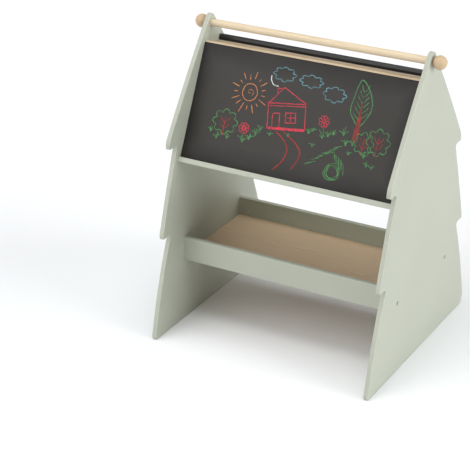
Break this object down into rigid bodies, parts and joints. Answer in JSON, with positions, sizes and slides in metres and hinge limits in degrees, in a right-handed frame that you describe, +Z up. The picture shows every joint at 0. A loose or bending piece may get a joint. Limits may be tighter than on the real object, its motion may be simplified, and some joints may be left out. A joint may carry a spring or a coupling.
{
  "type": "kids easel",
  "caption": "Children's easel with two fir-tree side panels, a leaning chalkboard over a pencil ledge, a paper roll dowel with ball knobs, a paper guide bar and a toy bin.",
  "frame": {"origin": "on the floor, in the middle of the footprint", "axes": "X runs from the left side panel to the right one, -Y is the chalkboard side, Z is up"},
  "size_m": [0.7906, 0.6823, 0.92],
  "materials": {
    "sage_paint": "satin sage-green paint on board",
    "pale_wood": "clear satin lacquer",
    "plywood": "clear matt lacquer",
    "dowel_wood": "sanded, clear satin lacquer",
    "beech": "turned, clear satin lacquer",
    "chalk_black": "matt blackboard paint",
    "black_paint": "satin black powder coat",
    "black_plastic": "moulded",
    "steel": "zinc plated",
    "cast_zinc": "die-cast zinc",
    "chalk": "coloured chalk marks",
    "brass": "turned"
  },
  "bodies": {
    "easel_frame": {"left_side_panel": "sage_paint", "right_side_panel": "sage_paint", "chalkboard_core": "pale_wood", "chalk_face": "chalk_black", "pencil_ledge": "sage_paint", "top_shelf": "pale_wood", "bin_front_rail": "sage_paint", "bin_back_rail": "sage_paint", "bin_floor": "plywood", "bin_bolts": "steel", "barrel_nuts": "steel", "rail_dowels": "dowel_wood", "board_dowels": "dowel_wood", "ledge_dowels": "dowel_wood", "shelf_dowels": "dowel_wood", "cam_bolts": "steel", "cam_locks": "cast_zinc"},
    "paper_spindle": {"paper_roll_dowel": "dowel_wood", "right_knob": "beech", "right_knob_insert": "brass", "right_knob_stud": "steel", "left_knob_stud": "steel"},
    "left_knob_body": {"left_knob": "beech", "left_knob_insert": "brass"},
    "guide_bar": {"guide_bar_tube": "black_paint", "guide_bar_plugs": "black_plastic"}
  },
  "joints": [
    {"name": "paper_spindle_turn", "type": "hinge", "parent": "easel_frame", "child": "paper_spindle", "pos_m": [0, 0, 0.893], "axis": [1, 0, 0], "continuous": true},
    {"name": "left_knob_off", "type": "slide", "parent": "paper_spindle", "child": "left_knob_body", "axis": [-1, 0, 0], "range_m": [0, 0.02]},
    {"name": "guide_bar_turn", "type": "hinge", "parent": "easel_frame", "child": "guide_bar", "pos_m": [0, 0.0487, 0.8355], "axis": [1, 0, 0], "continuous": true}
  ]
}
